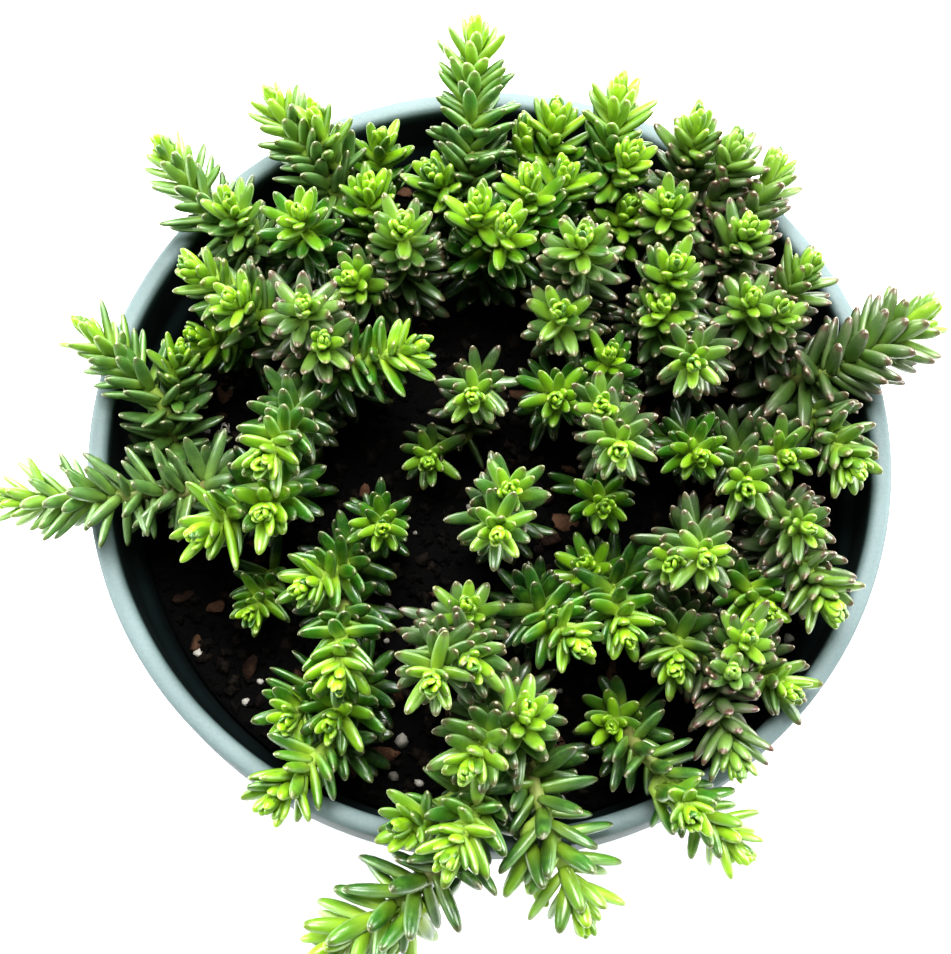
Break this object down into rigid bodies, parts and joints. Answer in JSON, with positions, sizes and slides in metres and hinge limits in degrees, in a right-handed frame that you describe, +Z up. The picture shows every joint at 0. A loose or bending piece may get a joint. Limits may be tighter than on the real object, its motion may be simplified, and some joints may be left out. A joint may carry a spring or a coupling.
{
  "type": "potted sedum",
  "caption": "Fine-leaved sedum with many upright and trailing leafy shoots, rooted in dark soil in a plain round nursery pot of grey-blue plastic",
  "frame": {"origin": "the middle of the pot's flat base, on the surface that it stands on", "axes": "+Z up out of the soil, -Y towards the camera at the bottom of the picture, +X to the picture's right"},
  "size_m": [0.1382, 0.14, 0.1211],
  "materials": {
    "pot_plastic": "semi-matt moulded plastic, grey-blue and thin enough to glow a little at the rim",
    "soil_mix": null,
    "sedum_leaf": null
  },
  "bodies": {
    "root": {"pot": "pot_plastic", "soil": "soil_mix", "shoot_back_left_far": "sedum_leaf", "shoot_back_left": "sedum_leaf", "shoot_back_left_low": "sedum_leaf", "shoot_back_left_rosette": "sedum_leaf", "shoot_back_spire": "sedum_leaf", "shoot_back_middle": "sedum_leaf", "shoot_back_right": "sedum_leaf", "shoot_back_centre": "sedum_leaf", "shoot_back_right_tall": "sedum_leaf", "shoot_back_right_dark": "sedum_leaf", "shoot_back_right_far": "sedum_leaf", "shoot_left_upper": "sedum_leaf", "shoot_left_upper_low": "sedum_leaf", "shoot_upper_left_rosette": "sedum_leaf", "shoot_upper_left_side": "sedum_leaf", "shoot_centre_back": "sedum_leaf", "shoot_upper_middle_left": "sedum_leaf", "shoot_upper_middle": "sedum_leaf", "shoot_upper_middle_right": "sedum_leaf", "shoot_centre_right_small": "sedum_leaf", "shoot_centre_back_right": "sedum_leaf", "shoot_centre_right": "sedum_leaf", "shoot_right_upper": "sedum_leaf", "shoot_right_rosette": "sedum_leaf", "shoot_right_upper_inner": "sedum_leaf", "shoot_right_upper_outer": "sedum_leaf", "shoot_right_far": "sedum_leaf", "shoot_right_low": "sedum_leaf", "shoot_right_inner_low": "sedum_leaf", "shoot_right_inner": "sedum_leaf", "shoot_left_high": "sedum_leaf", "shoot_left_far": "sedum_leaf", "shoot_left_inner": "sedum_leaf", "shoot_left_lower": "sedum_leaf", "shoot_left_lower_dim": "sedum_leaf", "shoot_lower_left_upper": "sedum_leaf", "shoot_centre_left": "sedum_leaf", "shoot_centre": "sedum_leaf", "shoot_centre_right_low": "sedum_leaf", "shoot_lower_left": "sedum_leaf", "shoot_lower_left_low": "sedum_leaf", "shoot_front_left": "sedum_leaf", "shoot_front_rosette": "sedum_leaf", "shoot_front_middle": "sedum_leaf", "shoot_front_over_rim": "sedum_leaf", "shoot_front_trail_left": "sedum_leaf", "shoot_front_trail_middle": "sedum_leaf", "shoot_front_inner_left": "sedum_leaf", "shoot_front_inner_right": "sedum_leaf", "shoot_right_lower": "sedum_leaf", "shoot_right_fan": "sedum_leaf", "shoot_right_middle": "sedum_leaf", "shoot_right_lower_inner": "sedum_leaf", "shoot_front_right_inner": "sedum_leaf", "shoot_front_right_outer": "sedum_leaf", "shoot_front_right_dark": "sedum_leaf", "shoot_front_trail_right": "sedum_leaf"}
  },
  "joints": []
}
